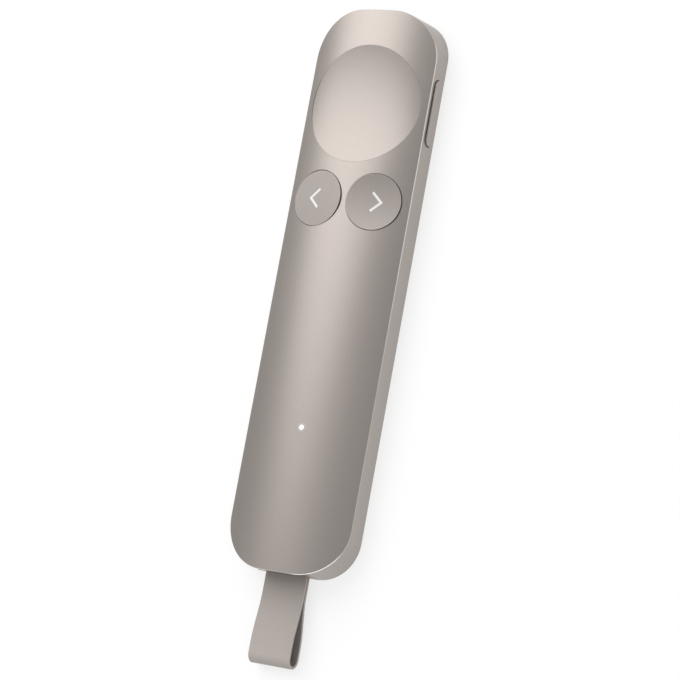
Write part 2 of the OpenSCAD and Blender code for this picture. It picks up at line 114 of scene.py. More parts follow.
class NodeBox:
    """A CAD node's box at rest: its corners, its middle and its size."""

    def __init__(self, node):
        self.low, self.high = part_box(node)
        self.middle = (self.low + self.high) / 2
        self.size = self.high - self.low


casing_box = NodeBox("upper_casing")
cover_box = NodeBox("back_cover")
pointer_box = NodeBox("pointer_button")
paging_box = NodeBox("next_button")
side_box = NodeBox("side_button")
light_box = NodeBox("status_light_pipe")
receiver_box = NodeBox("receiver_case")
front_box = NodeBox("receiver_front")
plug_box = NodeBox("receiver_plug")
strap_box = NodeBox("strap")

dish_middle = Vector((0, pointer_box.middle.y, 0))
dish_radius = pointer_box.high.x
lit_place = Vector((0, light_box.middle.y, casing_box.high.z))


# Properties


def size(name, description, default):
    """A length that a user may change, in metres."""
    return FloatProperty(name=name, description=description, default=default, min=0.0, precision=6,
                         subtype="DISTANCE", unit="LENGTH")


def share(name, description, default):
    """A plain number from 0 to 1 that a user may change."""
    return FloatProperty(name=name, description=description, default=default, min=0.0, max=1.0,
                         subtype="FACTOR")


def colour(name, description, default):
    """A linear colour that a user may change."""
    return FloatVectorProperty(name=name, description=description, default=default, min=0.0, max=1.0,
                               size=3, subtype="COLOR")


def amount(name, description, default):
    """A plain number that a user may change."""
    return FloatProperty(name=name, description=description, default=default, min=0.0)


def angle(name, description, default):
    """An angle that a user may change, given in degrees and kept in radians."""
    return FloatProperty(name=name, description=description, default=math.radians(default),
                         subtype="ANGLE", unit="ROTATION")


class ClickerCasingSizes(PropertyGroup):
    """Sizes of the metal shell."""

    crown_radius: size("Crown radius", "Radius of the crowned front, across the width", 38 * MM)
    front_corner: size("Front corner", "Corner radius of the front edge, which the walls lean in to", 11 * MM)
    back_corner: size("Back corner", "Corner radius of the shell's back edge", 9.2 * MM)
    corner_radius: size("Corner radius", "Corner radius that the inside and the cover start from", 9.7 * MM)
    wall: size("Wall", "Thickness of the shell", 1 * MM)
    chamfer: size("Chamfer", "Polished chamfer along the front edge", 0.13 * MM)
    back_edge: size("Back edge", "Rounding of the shell's back edge", 0.15 * MM)
    rim: size("Rim", "Rounding of the openings for the round buttons", 0.04 * MM)
    fine_rim: size("Fine rim", "Rounding of the openings for the dish and the status light", 0.02 * MM)
    strips: IntProperty(name="Strips", description="Flat strips that make the crown", default=96, min=8)
    corner_steps: IntProperty(name="Corner steps", description="Steps in a rounded corner", default=30, min=4)


class ClickerButtonSizes(PropertyGroup):
    """Sizes of the buttons and the status light."""

    dish_depth: size("Dish depth", "Depth of the dish below the crown, at its middle", 1.08 * MM)
    dish_step: size("Dish step", "Depth of the dish's edge below the crown, at its left and right", 0.1 * MM)
    dish_bulge: share("Dish bulge", "Share of the dish's fall that comes close to its edge", 0.25)
    dish_edge: size("Dish edge", "Rounding of the dish's edge", 0.02 * MM)
    dish_gap: size("Dish gap", "Hairline round the dish and the status light", 0.01 * MM)
    dish_skirt: size("Dish skirt", "Height of the dish's side wall", 2 * MM)
    paging_x: size("Paging offset", "Distance of a round button's middle from the centre line", 7 * MM)
    paging_radius: size("Paging radius", "Radius of a round button", 6.3 * MM)
    paging_grow: size("Paging grow", "How far a round button's visible cap fills its gap", 0.04 * MM)
    paging_gap: size("Paging gap", "Gap between a round button's cap and the shell", 0.085 * MM)
    paging_sunk: size("Paging sunk", "Depth of a round button's middle below the crown", 0.14 * MM)
    paging_edge: size("Paging edge", "Rounding of a round button's edge", 0.04 * MM)
    paging_skirt: size("Paging skirt", "Height of a round button's side wall", 1.9 * MM)
    next_hollow: size("Hollow", "Depth of the shallow hollow in the right-hand button", 0.25 * MM)
    cap: size("Cap", "Thickness of a button's face", 1 * MM)
    arrow_tip: size("Arrow tip", "Distance of an arrow's tip from the middle of its button", 1.81 * MM)
    arrow_length: size("Arrow length", "Length of one stroke of an arrow", 3.05 * MM)
    arrow_stroke: size("Arrow stroke", "Width of an arrow's strokes", 0.56 * MM)
    arrow_thick: size("Arrow thickness", "Thickness of the printed arrows", 0.02 * MM)
    arrow_angle: angle("Arrow angle", "Angle between an arrow's stroke and the width", 43.5)
    side_length: size("Side button length", "Length of the pill-shaped side button", 15 * MM)
    side_width: size("Side button width", "Width of the side button", 3.2 * MM)
    side_height: size("Side button height", "Distance of the side button's middle from the back", 2.75 * MM)
    side_depth: size("Side button depth", "How deep the side button's visible part is", 1.4 * MM)
    side_edge: size("Side button edge", "Rounding of the side button's edge", 0.18 * MM)
    side_gap: size("Side button gap", "Gap round the side button", 0.16 * MM)
    light_radius: size("Light radius", "Radius of the status light's lens", 0.46 * MM)
    light_dome: size("Light dome", "Rise of the status light's lens to its middle", 0.12 * MM)
    # Painted glow: how far the emission painted on the shell round the status light reaches
    glow_radius: size("Glow radius", "How far the status light's glow spreads on the shell", 1.1 * MM)


class ClickerReceiverSizes(PropertyGroup):
    """Sizes of the receiver, its slot and its strap."""

    slot_gap: size("Slot gap", "Gap round the docked receiver", 0.1 * MM)
    case_corner: size("Case corner", "Corner radius of the receiver's case", 0.6 * MM)
    case_edge: size("Case edge", "Rounding of the case's end edges", 0.15 * MM)
    case_wall: size("Case wall", "Wall of the receiver's case", 0.6 * MM)
    case_room: size("Case room", "How far the case's hollow reaches in from the front plate", 7 * MM)
    case_front: size("Case front", "Wall between the case's hollow and the front plate", 0.3 * MM)
    end_cap: size("End cap", "Thickness of the receiver's metal end cap", 0.9 * MM)
    plug_shell: size("Plug shell", "Thickness of the plug's steel shell", 0.3 * MM)
    plug_mouth: size("Plug mouth", "Rounding of the plug's mouth", 0.1 * MM)
    strap_layer: size("Strap layer", "Thickness of one layer of the strap", 0.62 * MM)
    strap_parting: size("Strap parting", "Gap between the strap's two layers at the slot", 0.2 * MM)
    strap_edge: size("Strap edge", "Rounding of the strap's edges", 0.14 * MM)
    strap_trim: size("Strap trim", "How much narrower the band is than the solid, on each side", 0.15 * MM)
    strap_room: size("Strap room", "Room behind the strap's inner end", 0.2 * MM)
    loop_rise: size("Loop rise", "How far the loop opens above its middle", 2 * MM)
    loop_sag: size("Loop sag", "How far the loop opens below its middle", 2.35 * MM)
    loop_start: share("Loop start", "Share of the strap's length where its layers part", 0.2)
    loop_full: share("Loop full", "Share of the strap's length where the loop is fully open", 0.78)
    loop_steps: IntProperty(name="Loop steps", description="Steps in half of the loop", default=28, min=4)


class ClickerFinish(PropertyGroup):
    """Colours, grain and roughness of the finishes."""

    casing: colour("Casing", "Satin metal of the shell", (0.373, 0.337, 0.3125))
    # Painted light: the walls' colour is a paler copy of the casing's, standing in for the white floor that
    # the walls reflect where its shadow darkens it
    wall: colour("Walls", "Satin metal of the shell's walls and the side button", (0.398, 0.36, 0.334))
    polish: colour("Polish", "Polished chamfer", (0.68, 0.65, 0.625))
    dish: colour("Dish", "Satin metal of the dished button", (0.337, 0.305, 0.283))
    paging: colour("Round buttons", "Satin metal of the two round buttons", (0.317, 0.287, 0.266))
    strap: colour("Strap", "Soft strap, at its end", (0.52, 0.466, 0.432))
    # Painted shade: the strap's colour darkens towards the slot, standing in for the casing's shadow on it
    strap_painted_shade: colour("Strap root", "Soft strap, darker where it leaves the slot", (0.36, 0.322, 0.296))
    # Painted shade: the inside of the strap's loop is darker, standing in for the shade that its top layer
    # casts
    strap_inside_painted_shade: colour("Strap inside", "Soft strap, on the inside of its loop", (0.3, 0.268, 0.246))
    # Painted light: the strap's edges are paler, standing in for light that falls on them from the right
    strap_edge: colour("Strap edge", "Paler cut edge of the strap", (0.66, 0.6, 0.56))
    plastic: colour("Plastic", "Moulded dark plastic", (0.022, 0.022, 0.024))
    arrow: colour("Arrows", "Printed arrows", (0.9, 0.9, 0.89))
    lens: colour("Lens", "Frosted lens of the status light", (0.9, 0.92, 0.95))
    adhesive: colour("Adhesive", "Foam tape under the back cover", (0.012, 0.012, 0.013))
    board: colour("Board", "Solder resist of the circuit boards", (0.006, 0.055, 0.026))
    chip: colour("Chips", "Moulded epoxy of chips and switches", (0.02, 0.02, 0.022))
    steel: colour("Steel", "Drawn, nickel-plated steel", (0.56, 0.56, 0.57))
    foil: colour("Foil", "Aluminium foil of the battery and the radio's shield", (0.62, 0.63, 0.65))
    pipe: colour("Light pipe", "Clear light pipe", (0.86, 0.89, 0.92))
    gold: colour("Gold", "Gold-plated contacts", (0.83, 0.6, 0.25))
    front_grain: share("Front grain", "How much the front's blasted grain varies its tone", 0.035)
    wall_grain: share("Wall grain", "How much the walls' blasted grain varies their tone", 0.09)
    casing_roughness: share("Casing roughness", "Roughness of the satin metal", 0.37)
    polish_roughness: share("Polish roughness", "Roughness of the polished chamfer", 0.16)
    # Painted glow: emission on the shell round the status light, though the shell is no lamp
    painted_glow: amount("Glow", "Strength of the status light's glow on the shell, beside the lens", 0.16)


class ClickerStage(PropertyGroup):
    """Light, floor and camera."""

    world: amount("World", "Strength of the even light all round", 0.6)
    key_radiance: amount("Key", "Radiance of the large round lamp", 2.04)
    key_width: size("Key width", "Width of the large round lamp", 1.06)
    key_height: size("Key height", "Height of the large round lamp", 1.06)
    key_distance: size("Key distance", "Distance of the large round lamp", 1.0)
    key_turn: angle("Key turn", "Direction of the lamp round the vertical, from the right", 129)
    key_rise: angle("Key rise", "Height of the lamp above the floor", 46)
    low_radiance: amount("Low", "Radiance of the low lamp, seen in the chamfer at the strap's end", 0.95)
    low_width: size("Low width", "Width of the low lamp", 1.7)
    low_height: size("Low height", "Height of the low lamp", 0.28)
    low_distance: size("Low distance", "Distance of the low lamp", 1.0)
    low_turn: angle("Low turn", "Direction of the low lamp round the vertical, from the right", -70)
    low_rise: angle("Low rise", "Height of the low lamp above the floor", 8.5)
    rim_radiance: amount("Rim", "Radiance of the rim lamp, seen in the chamfer by the side button", 0.42)
    rim_width: size("Rim width", "Width of the rim lamp", 0.62)
    rim_height: size("Rim height", "Height of the rim lamp", 0.28)
    rim_distance: size("Rim distance", "Distance of the rim lamp", 1.0)
    rim_turn: angle("Rim turn", "Direction of the rim lamp round the vertical, from the right", 26)
    rim_rise: angle("Rim rise", "Height of the rim lamp above the floor", 9)
    floor_tone: share("Floor tone", "Grey of the floor's paper", 0.32)
    floor_white: amount("Floor white", "Strength that the floor adds to what the camera and metal see", 0.72)
    yaw: angle("Yaw", "Turn of the clicker about its length", -28.55)
    pitch: angle("Pitch", "Turn of the clicker about its width", -8.093)
    roll: angle("Roll", "Turn of the picture", -10.378)
    distance: size("Distance", "Distance of the camera", 505.38 * MM)
    shift_x: size("Shift across", "Place of the clicker's middle right of the picture's", 1.14 * MM)
    shift_y: size("Shift up", "Place of the clicker's middle above the picture's", 10.094 * MM)
    pixels_per_mm: amount("Scale", "Pixels for one millimetre at the clicker's middle", 4.5268)


# Meshes


def of_type(geom, kind):
    """The vertices, the edges or the faces of some geometry."""
    return [part for part in geom if isinstance(part, kind)]


def unique(parts):
    """Each part once, in the order of its first place."""
    return list(dict.fromkeys(parts))


def quarter_turn(steps):
    """Angles from nothing to a quarter turn."""
    return [math.pi / 2 * i / steps for i in range(steps + 1)]


def edge_loops(edges):
    """Splits edges into the loops that they form."""
    left = dict.fromkeys(edges)
    loops = []
    while left:
        todo = [left.popitem()[0]]
        loop = []
        while todo:
            edge = todo.pop()
            loop.append(edge)
            joined = unique(other for vert in edge.verts for other in vert.link_edges if other in left)
            for other in joined:
                del left[other]
            todo += joined
        loops.append(loop)
    return loops


def grow_ring(bm, edges, place, material=0):
    """Extrudes a loop of edges, puts each new vertex where place says, and returns the new loop."""
    made = bmesh.ops.extrude_edge_only(bm, edges=edges)["geom"]
    for vert in of_type(made, BMVert):
        vert.co = place(vert.co)
    for face in of_type(made, BMFace):
        face.material_index = material
    return [edge for edge in of_type(made, BMEdge) if edge.is_boundary]


def rounded_face(bm, width, length, radius, steps):
    """Adds a flat face with rounded corners, centred on the origin, and returns it."""
    corners = bmesh.ops.create_grid(bm, x_segments=1, y_segments=1, size=0.5)["verts"]
    bmesh.ops.scale(bm, vec=(width, length, 1), verts=corners)
    made = bmesh.ops.bevel(bm, geom=corners, offset=radius, offset_type="OFFSET", segments=steps, profile=0.5,
                           affect="VERTICES", clamp_overlap=False, material=-1)
    bmesh.ops.remove_doubles(bm, verts=made["verts"], dist=MERGE)
    return max((f for v in made["verts"] if v.is_valid for f in v.link_faces), key=lambda f: f.calc_area())


def prism(width, length, radius, steps, low, high):
    """A rounded block between two heights, and its faces at its low and high ends."""
    bm = bmesh.new()
    low_face = rounded_face(bm, width, length, radius, steps)
    bmesh.ops.translate(bm, vec=(0, 0, low), verts=low_face.verts)
    made = bmesh.ops.extrude_face_region(bm, geom=[low_face], use_keep_orig=True)["geom"]
    bmesh.ops.translate(bm, vec=(0, 0, high - low), verts=of_type(made, BMVert))
    high_face = next(face for face in of_type(made, BMFace) if abs(face.normal.z) > MOSTLY)
    bmesh.ops.recalc_face_normals(bm, faces=bm.faces)
    return bm, low_face, high_face


def along_clicker(y, z):
    """A frame at a place on the centre line whose own Z runs along the clicker and whose own Y points up."""
    turned = Matrix(((-1, 0, 0, 0), (0, 0, 1, 0), (0, 1, 0, 0), (0, 0, 0, 1)))
    return Matrix.Translation((0, y, z)) @ turned


def bar(width, height, radius, steps, start, end, z):
    """A rounded bar that runs along the clicker between two places, and its faces at its ends."""
    bm, low_face, high_face = prism(width, height, radius, steps, 0.0, end - start)
    bm.transform(along_clicker(start, z))
    bm.normal_update()
    return bm, low_face, high_face


def round_edges(bm, edges, width, segments=3):
    """Rounds edges with a small radius."""
    bmesh.ops.bevel(bm, geom=list(edges), offset=width, offset_type="OFFSET", segments=segments, profile=0.5,
                    affect="EDGES", clamp_overlap=True, material=-1)


def sharp_edges(bm):
    """The edges where two faces meet at a clear angle."""
    bm.normal_update()
    return [e for e in bm.edges if len(e.link_faces) == 2 and e.calc_face_angle() > ROUNDED_ANGLE]


def spun(profile, steps):
    """Spins a profile of radius and height pairs round the Z axis into a closed shape."""
    bm = bmesh.new()
    verts = [bm.verts.new((radius, 0, height)) for radius, height in profile]
    edges = [bm.edges.new(pair) for pair in zip(verts, verts[1:])]
    bmesh.ops.spin(bm, geom=verts + edges, cent=(0, 0, 0), axis=(0, 0, 1), angle=math.tau, steps=steps,
                   use_merge=True)
    bmesh.ops.remove_doubles(bm, verts=bm.verts, dist=MERGE)
    return bm


def cap_profile(radius, edge, skirt, cap, rings):
    """The section of a button: a face in rings, a rounded edge, a skirt, and the hollow under the face."""
    face = [((radius - edge) * i / rings, 0.0) for i in range(rings)] + [(radius - 2 * edge, 0.0)]
    rounding = [(radius - edge * (1 - math.sin(turned)), -edge * (1 - math.cos(turned)))
                for turned in quarter_turn(BUTTON_ARC)]
    inner = radius - cap
    return face + rounding + [(radius, -skirt), (inner, -skirt), (inner, -cap), (0.0, -cap)]


def make_piece(name, bm, body, materials, replaced=()):
    """Turns bm into a finished piece that rides on a body and stands for the replaced nodes."""
    bmesh.ops.remove_doubles(bm, verts=bm.verts, dist=MERGE)
    bmesh.ops.recalc_face_normals(bm, faces=bm.faces)
    for face in bm.faces:
        face.smooth = True
    for edge in bm.edges:
        edge.smooth = len(edge.link_faces) == 2 and edge.calc_face_angle() < SHARP_ANGLE
    mesh = bpy.data.meshes.new(name)
    bm.to_mesh(mesh)
    bm.free()
    for material in materials:
        mesh.materials.append(material)
    piece = bpy.data.objects.new(name, mesh)
    bpy.context.scene.collection.objects.link(piece)
    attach(piece, body)
    if replaced:
        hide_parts(*replaced)
    return piece


def even_shading(piece, surface_normal):
    """Gives corners the exact normal of their surface, where surface_normal(face, place) knows it."""
    mesh = piece.data
    normals = [Vector() for _ in mesh.loops]
    for face in mesh.polygons:
        for i in face.loop_indices:
            place = mesh.vertices[mesh.loops[i].vertex_index].co
            normals[i] = surface_normal(face, place) or normals[i]
    mesh.normals_split_custom_set(normals)


def broad_face(face, place):
    """The face's own normal where it is a broad flat one, and none for any other face."""
    return face.normal if face.area > BROAD else None


def cut(bm, cutter):
    """Cuts the shape in cutter out of bm and returns what is left as a new bmesh."""
    objects = []
    for part in (bm, cutter):
        bmesh.ops.recalc_face_normals(part, faces=part.faces)
        mesh = bpy.data.meshes.new("cutting")
        part.to_mesh(mesh)
        part.free()
        objects.append(bpy.data.objects.new("cutting", mesh))
        bpy.context.scene.collection.objects.link(objects[-1])
    modifier = objects[0].modifiers.new("Cut", "BOOLEAN")
    modifier.operation = "DIFFERENCE"
    modifier.solver = "EXACT"
    modifier.object = objects[1]
    left = bmesh.new()
    left.from_object(objects[0], bpy.context.evaluated_depsgraph_get())
    for done in objects:
        mesh = done.data
        bpy.data.objects.remove(done)
        bpy.data.meshes.remove(mesh)
    return left


# Shapes of the clicker


class Opening(NamedTuple):
    """An opening in the front: its frame, its radius and the rounding of its rim."""

    place: Matrix
    radius: float
    rim: float


def crown_axis(sizes):
    """Height of the axis that the crown is a cylinder round."""
    return casing_box.high.z - sizes.crown_radius


def crown_z(sizes, x, inset=0.0):
    """Height of the crown, or of the crown set in by inset, at a place across the width."""
    return crown_axis(sizes) + math.sqrt((sizes.crown_radius - inset) ** 2 - x * x)


def crown_normal(sizes, face, place):
    """The crown's own normal for a face that lies on it, and none for any other face."""
    out = Vector((place.x, 0, place.z - crown_axis(sizes)))
    off_crown = abs(out.length - sizes.crown_radius)
    out.normalize()
    return out if off_crown < ON_CROWN and face.normal.dot(out) > SAME_WAY else None


def outline_place(corner, point, inset, z):
    """The place nearest to a point, at height z, on the outline of that corner radius, set in by inset."""
    core = Vector((casing_box.high.x - corner, casing_box.high.y - corner))
    middle = Vector((max(-core.x, min(core.x, point.x)), max(-core.y, min(core.y, point.y))))
    out = (Vector((point.x, point.y)) - middle).normalized()
    place = middle + out * (corner - inset)
    return Vector((place.x, place.y, z))


def chamfer_foot(casing, point):
    """Height of the chamfer's lower edge at a place on the outline."""
    return crown_z(casing, outline_place(casing.front_corner, point, 0.0, 0.0).x) - casing.chamfer


def paging_frame(casing, buttons, side):
    """The place and tilt of a round button: its face is square to its own Z."""
    tilt = math.asin(buttons.paging_x / casing.crown_radius)
    place = (side * buttons.paging_x, paging_box.middle.y, crown_z(casing, buttons.paging_x))
    return Matrix.Translation(place) @ Matrix.Rotation(side * tilt, 4, "Y")


def front_openings(casing, buttons):
    """The openings in the front, for the dish, the two round buttons and the status light."""
    on_dish = Matrix.Translation((dish_middle.x, dish_middle.y, casing_box.high.z))
    round_opening = buttons.paging_radius + buttons.paging_grow + buttons.paging_gap
    return [
        Opening(on_dish, dish_radius + buttons.dish_gap, casing.fine_rim),
        Opening(paging_frame(casing, buttons, -1), round_opening, casing.rim),
        Opening(paging_frame(casing, buttons, 1), round_opening, casing.rim),
        Opening(Matrix.Translation(lit_place), buttons.light_radius + buttons.dish_gap, casing.fine_rim),
    ]


def opening_plan(bm, casing, opening, rim, reach):
    """Adds the plan of an opening in a crown of radius reach, widened by rim, and returns its edges."""
    steps = min(max(FEWEST_STEPS, int(opening.radius / OPENING_STEP)), MOST_STEPS)
    ring = bmesh.ops.create_circle(bm, cap_ends=False, radius=opening.radius + rim, segments=steps)["verts"]
    for vert in ring:
        drop = math.sqrt(reach ** 2 - vert.co.x ** 2) - casing.crown_radius
        vert.co = opening.place @ Vector((vert.co.x, vert.co.y, drop))
        vert.co.z = 0
    return unique(edge for vert in ring for edge in vert.link_edges)


def lay_skin(bm, casing, openings, corner, outline_inset, crown_inset, rimmed):
    """Adds a crowned sheet with its openings, and returns the edges of its outline and of each opening."""
    half_width = casing_box.high.x - outline_inset
    half_length = casing_box.high.y - outline_inset
    face = rounded_face(bm, 2 * half_width, 2 * half_length, corner - outline_inset, casing.corner_steps)
    edges = list(face.edges)
    bmesh.ops.delete(bm, geom=[face], context="FACES_ONLY")
    reach = casing.crown_radius - crown_inset
    for opening in openings:
        edges += opening_plan(bm, casing, opening, rimmed * opening.rim, reach)
    filled = bmesh.ops.triangle_fill(bm, use_beauty=True, use_dissolve=False, edges=edges, normal=(0, 0, 1))
    faces = of_type(filled["geom"], BMFace)
    geom = faces + unique(e for f in faces for e in f.edges) + unique(v for f in faces for v in f.verts)
    widest = math.asin(half_width / reach)
    for i in range(1, casing.strips):
        x = reach * math.sin(widest * (2 * i / casing.strips - 1))
        halves = bmesh.ops.bisect_plane(bm, geom=geom, dist=MERGE, plane_co=(x, 0, 0), plane_no=(1, 0, 0))
        geom = halves["geom"]
    borders = [edge for edge in of_type(geom, BMEdge) if edge.is_boundary]
    across = [edge for edge in of_type(geom, BMEdge) if not edge.is_boundary
              and abs(edge.verts[0].co.x - edge.verts[1].co.x) > MERGE]
    verts = unique(vert for face in of_type(geom, BMFace) for vert in face.verts)
    for vert in verts:
        vert.co.z = crown_z(casing, vert.co.x, crown_inset)
    bmesh.ops.dissolve_edges(bm, edges=across, use_verts=False, use_face_split=False)
    spare = [vert for vert in verts if vert.is_valid and not vert.is_boundary and len(vert.link_edges) == 2]
    bmesh.ops.dissolve_verts(bm, verts=spare)
    return sorted_loops(edge_loops(borders), openings)


def sorted_loops(loops, openings):
    """Puts the outline first and the loop of each opening in the openings' order."""
    def apart(loop, opening):
        spots = [(edge.verts[0].co + edge.verts[1].co) / 2 for edge in loop]
        return (sum(spots, Vector()) / len(loop) - opening.place.translation).length

    outline = max(loops, key=lambda loop: max(vert.co.y for edge in loop for vert in edge.verts))
    others = [loop for loop in loops if loop is not outline]
    return outline, [min(others, key=lambda loop: apart(loop, opening)) for opening in openings]


def round_rim(bm, opening, rim):
    """Rounds an opening's rim down into the opening, and returns its lower edge."""
    to_opening = opening.place.inverted()
    turns = quarter_turn(RIM_ARC)
    widths = [opening.radius + opening.rim * (1 - math.sin(turned)) for turned in turns]
    drops = [opening.rim * (1 - math.cos(turned)) for turned in turns]
    for i in range(RIM_ARC):
        shrink = widths[i + 1] / widths[i]
        drop = drops[i + 1] - drops[i]

        def inwards(point):
            local = to_opening @ point
            return opening.place @ Vector((local.x * shrink, local.y * shrink, local.z - drop))

        rim = grow_ring(bm, rim, inwards)
    return rim


def build_casing(casing, buttons, receiver):
    """The shell: a crowned front with its openings, a polished chamfer, walls and a clean inside."""
    bm = bmesh.new()
    openings = front_openings(casing, buttons)
    front, back, inside = casing.front_corner, casing.back_corner, casing.corner_radius
    outline, rims = lay_skin(bm, casing, openings, front, casing.chamfer, 0.0, 1)
    inner_outline, inner_rims = lay_skin(bm, casing, openings, inside, casing.wall, casing.wall, 0)
    for opening, rim, inner_rim in zip(openings, rims, inner_rims):
        bmesh.ops.bridge_loops(bm, edges=round_rim(bm, opening, rim) + inner_rim)
    ring = grow_ring(bm, outline, lambda co: outline_place(front, co, 0.0, chamfer_foot(casing, co)), POLISH)
    # The walls take the paler copy of the satin metal, which is painted light
    for turned in quarter_turn(BACK_ARC):
        inset = casing.back_edge * (1 - math.cos(turned))
        height = casing.back_edge * (1 - math.sin(turned))
        ring = grow_ring(bm, ring, lambda co: outline_place(back, co, inset, height), PAINTED_LIGHT_WALL)
    ring += grow_ring(bm, inner_outline, lambda co: outline_place(inside, co, casing.wall, 0.0))
    bmesh.ops.triangle_fill(bm, use_beauty=True, use_dissolve=False, edges=ring, normal=(0, 0, -1))
    bm = cut(bm, side_cutter(casing, buttons))
    return cut(bm, receiver_cutter(casing, receiver))


def side_frame(buttons, x):
    """A frame in the middle of the side button whose own Z points out of the wall."""
    place = Matrix.Translation((x, side_box.middle.y, buttons.side_height))
    return place @ Matrix.Rotation(math.pi / 2, 4, "Y")


def side_cutter(casing, buttons):
    """A pill-shaped bar that cuts the side button's opening."""
    width = buttons.side_width + 2 * buttons.side_gap
    length = buttons.side_length + 2 * buttons.side_gap
    reach = casing.wall + CLEAR
    cutter = prism(width, length, width / 2, SIDE_GAP_STEPS, -reach, reach)[0]
    cutter.transform(side_frame(buttons, casing_box.high.x))
    return cutter


def receiver_cutter(casing, receiver):
    """A rounded bar that cuts the receiver's slot in the bottom end."""
    width = receiver_box.size.x + 2 * receiver.slot_gap
    height = receiver_box.size.z + 2 * receiver.slot_gap
    reach = casing.wall + CLEAR
    return bar(width, height, receiver.case_corner, SLOT_STEPS, casing_box.low.y - reach,
               casing_box.low.y + reach, receiver_box.middle.z)[0]


def dish_height(casing, buttons, x, y):
    """Height of the dish: hollowed along Y, and falling off across X to just below the crown."""
    depth = buttons.dish_depth
    along = (dish_radius ** 2 + depth ** 2) / (2 * depth)
    fall = casing_box.high.z - crown_z(casing, dish_radius) + buttons.dish_step - depth
    part = (x / dish_radius) ** 2
    reach = along + fall * part * (1 + buttons.dish_bulge * (part - 1))
    return casing_box.high.z - depth + along - math.sqrt(reach ** 2 - y * y)


def build_dish(casing, buttons):
    """The dished button's cap."""
    profile = cap_profile(dish_radius, buttons.dish_edge, buttons.dish_skirt, buttons.cap, DISH_RINGS)
    bm = spun(profile, DISH_STEPS)
    for vert in bm.verts:
        vert.co.z += dish_height(casing, buttons, vert.co.x, vert.co.y)
    bmesh.ops.translate(bm, vec=dish_middle, verts=bm.verts)
    return bm


def paging_face(buttons, side, y):
    """Height of a round button's face in its own frame: flat on the left, hollowed along Y on the right."""
    if side < 0:
        return -buttons.paging_sunk
    depth = buttons.next_hollow
    hollow = (buttons.paging_radius ** 2 + depth ** 2) / (2 * depth)
    return hollow - math.sqrt(hollow ** 2 - y * y) - buttons.paging_sunk


def build_paging(casing, buttons, side):
    """A round button's cap."""
    radius = buttons.paging_radius + buttons.paging_grow
    profile = cap_profile(radius, buttons.paging_edge, buttons.paging_skirt, buttons.cap, PAGING_RINGS)
    bm = spun(profile, PAGING_STEPS)
    for vert in bm.verts:
        vert.co.z += paging_face(buttons, side, vert.co.y)
    bm.transform(paging_frame(casing, buttons, side))
    return bm


def build_arrow(casing, buttons, side):
    """A printed arrow: one stroke, mitred at the tip and mirrored."""
    bm = bmesh.new()
    stroke = bmesh.ops.create_grid(bm, x_segments=ARROW_STEPS, y_segments=1, size=0.5)["verts"]
    length = buttons.arrow_length + buttons.arrow_stroke
    bmesh.ops.scale(bm, vec=(length, buttons.arrow_stroke, 1), verts=stroke)
    bmesh.ops.translate(bm, vec=(buttons.arrow_stroke - length / 2, 0, 0), verts=stroke)
    bm.transform(Matrix.Rotation(-buttons.arrow_angle, 4, "Z"))
    bmesh.ops.bisect_plane(bm, geom=bm.verts[:] + bm.edges[:] + bm.faces[:], dist=MERGE, plane_co=(0, 0, 0),
                           plane_no=(0, -1, 0), clear_outer=True)
    bmesh.ops.mirror(bm, geom=bm.verts[:] + bm.edges[:] + bm.faces[:], axis="Y", merge_dist=MERGE)
    bmesh.ops.recalc_face_normals(bm, faces=bm.faces)
    bmesh.ops.solidify(bm, geom=bm.faces[:], thickness=buttons.arrow_thick)
    bm.transform(Matrix.Translation((buttons.arrow_tip, 0, 0)))
    low = min(vert.co.z for vert in bm.verts)
    for vert in bm.verts:
        vert.co.z += paging_face(buttons, side, vert.co.y) - low - buttons.arrow_thick / 2
        vert.co.x *= side
    bm.transform(paging_frame(casing, buttons, side))
    return bm


def build_side_button(buttons):
    """The pill-shaped side button."""
    bm, _, outer_face = prism(buttons.side_width, buttons.side_length, buttons.side_width / 2,
                              SIDE_BUTTON_STEPS, -buttons.side_depth, 0.0)
    round_edges(bm, outer_face.edges, buttons.side_edge, SIDE_EDGE_STEPS)
    bm.transform(side_frame(buttons, side_box.high.x))
    return bm


def build_light(casing, buttons):
    """The lens of the status light, slightly domed."""
    radius = buttons.light_radius
    shares = [i / LENS_RINGS for i in range(LENS_RINGS + 1)]
    face = [(radius * part, buttons.light_dome * (1 - part ** 2)) for part in shares]
    bm = spun(face + [(radius, -casing.wall), (0.0, -casing.wall)], LENS_STEPS)
    bmesh.ops.translate(bm, vec=lit_place - Vector((0, 0, buttons.light_dome / 2)), verts=bm.verts)
    return bm


def build_cover(casing):
    """The flat back cover, with a softly rounded edge."""
    radius = casing.corner_radius - (casing_box.high.x - cover_box.high.x)
    bm, back_face, _ = prism(cover_box.size.x, cover_box.size.y, radius, casing.corner_steps,
                             cover_box.low.z, cover_box.high.z)
    round_edges(bm, back_face.edges, casing.back_edge)
    return bm


def loop_bend(receiver):
    """Radius of the bend at the strap's end."""
    return (receiver.loop_rise + receiver.loop_sag) / 2


def strap_side(receiver, opening):
    """One side of the strap in Y and height over its middle: out of the slot and round half of the bend."""
    closed = receiver.strap_layer + receiver.strap_parting / 2
    bend = loop_bend(receiver)
    length = casing_box.low.y - strap_box.low.y
    part_y = casing_box.low.y - receiver.loop_start * length
    full_y = casing_box.low.y - receiver.loop_full * length
    shares = [i / receiver.loop_steps for i in range(receiver.loop_steps + 1)]
    parting = [(part_y + t * (full_y - part_y), closed + (opening - closed) * t * t * (3 - 2 * t))
               for t in shares]
    bending = [(strap_box.low.y + bend - bend * math.sin(turned), opening - bend + bend * math.cos(turned))
               for turned in quarter_turn(receiver.loop_steps)]
    return [(strap_box.high.y, closed)] + parting + bending


